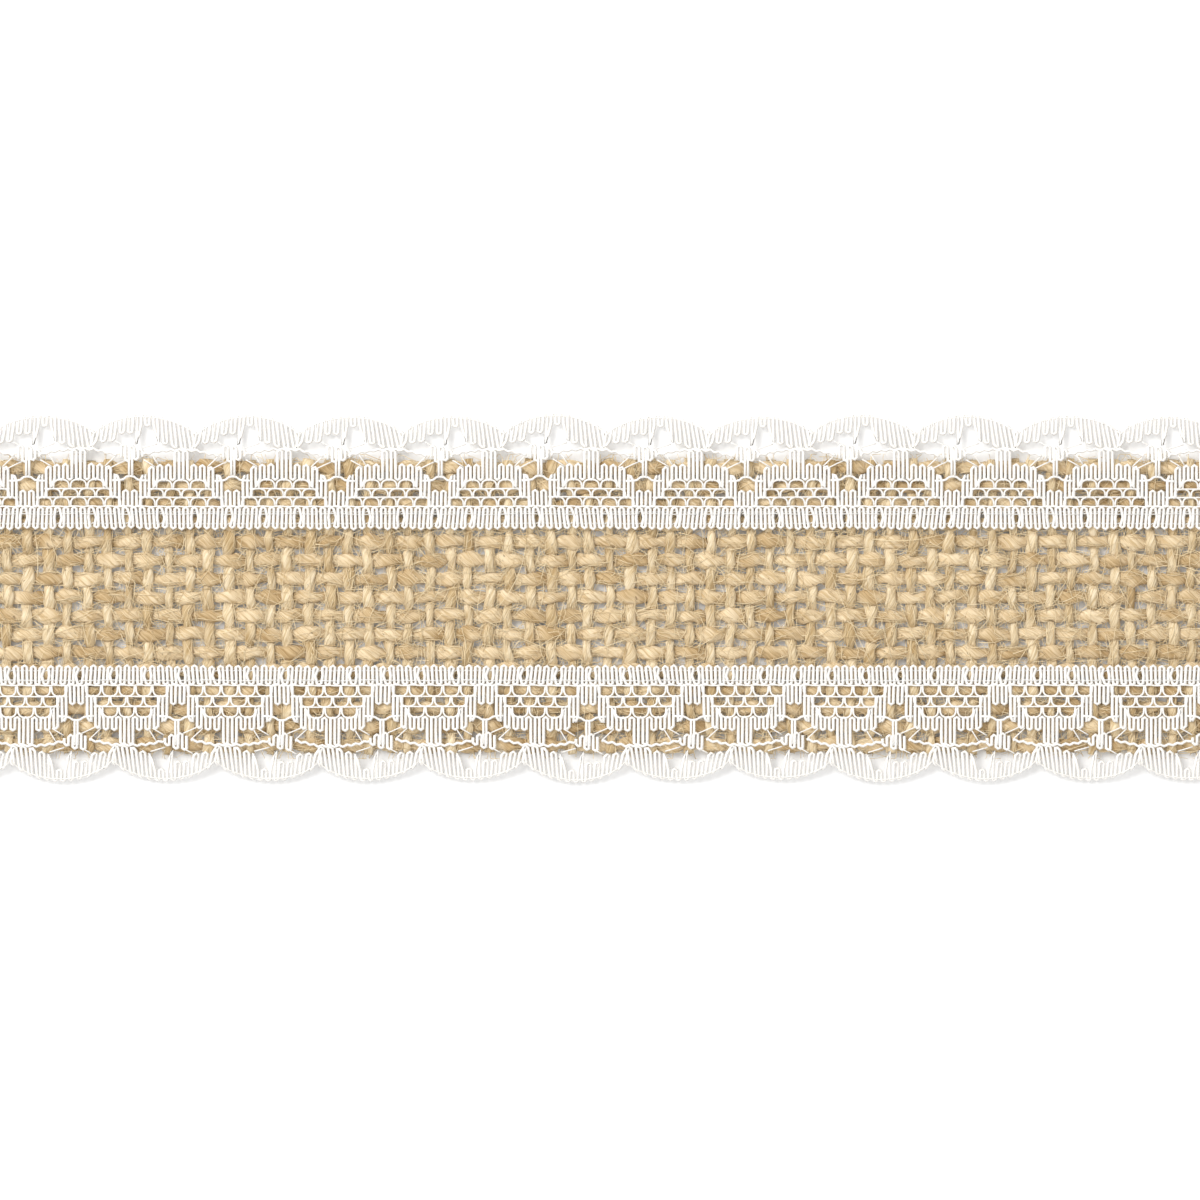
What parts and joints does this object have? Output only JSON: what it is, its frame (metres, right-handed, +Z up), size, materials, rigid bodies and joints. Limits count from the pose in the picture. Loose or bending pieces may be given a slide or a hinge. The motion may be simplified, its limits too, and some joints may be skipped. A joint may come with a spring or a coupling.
{
  "type": "table runner",
  "caption": "Narrow table runner of open-weave natural hessian with a scalloped white knitted lace sewn along each long edge.",
  "frame": {"origin": "on the table under the middle of the runner: half way along it, and half way between the lobe tips of the two laces", "axes": "+X along the runner, +Y across it to the back lace, +Z up from the table"},
  "size_m": [0.5, 0.05, 0.0025],
  "materials": {
    "jute_warp": "matte",
    "jute_weft": "matte",
    "lace": "matte",
    "sewing_thread": "matte"
  },
  "bodies": {
    "root": {"warp_yarn_01": "jute_warp", "warp_yarn_02": "jute_warp", "warp_yarn_03": "jute_warp", "warp_yarn_04": "jute_warp", "warp_yarn_05": "jute_warp", "warp_yarn_06": "jute_warp", "warp_yarn_07": "jute_warp", "warp_yarn_08": "jute_warp", "warp_yarn_09": "jute_warp", "warp_yarn_10": "jute_warp", "warp_yarn_11": "jute_warp", "warp_yarn_12": "jute_warp", "warp_yarn_13": "jute_warp", "warp_yarn_14": "jute_warp", "warp_yarn_15": "jute_warp", "warp_yarn_16": "jute_warp", "weft_yarns_odd": "jute_weft", "weft_yarns_even": "jute_weft", "front_lace": "lace", "back_lace": "lace", "front_needle_thread": "sewing_thread", "front_bobbin_thread": "sewing_thread", "back_needle_thread": "sewing_thread", "back_bobbin_thread": "sewing_thread"}
  },
  "joints": []
}
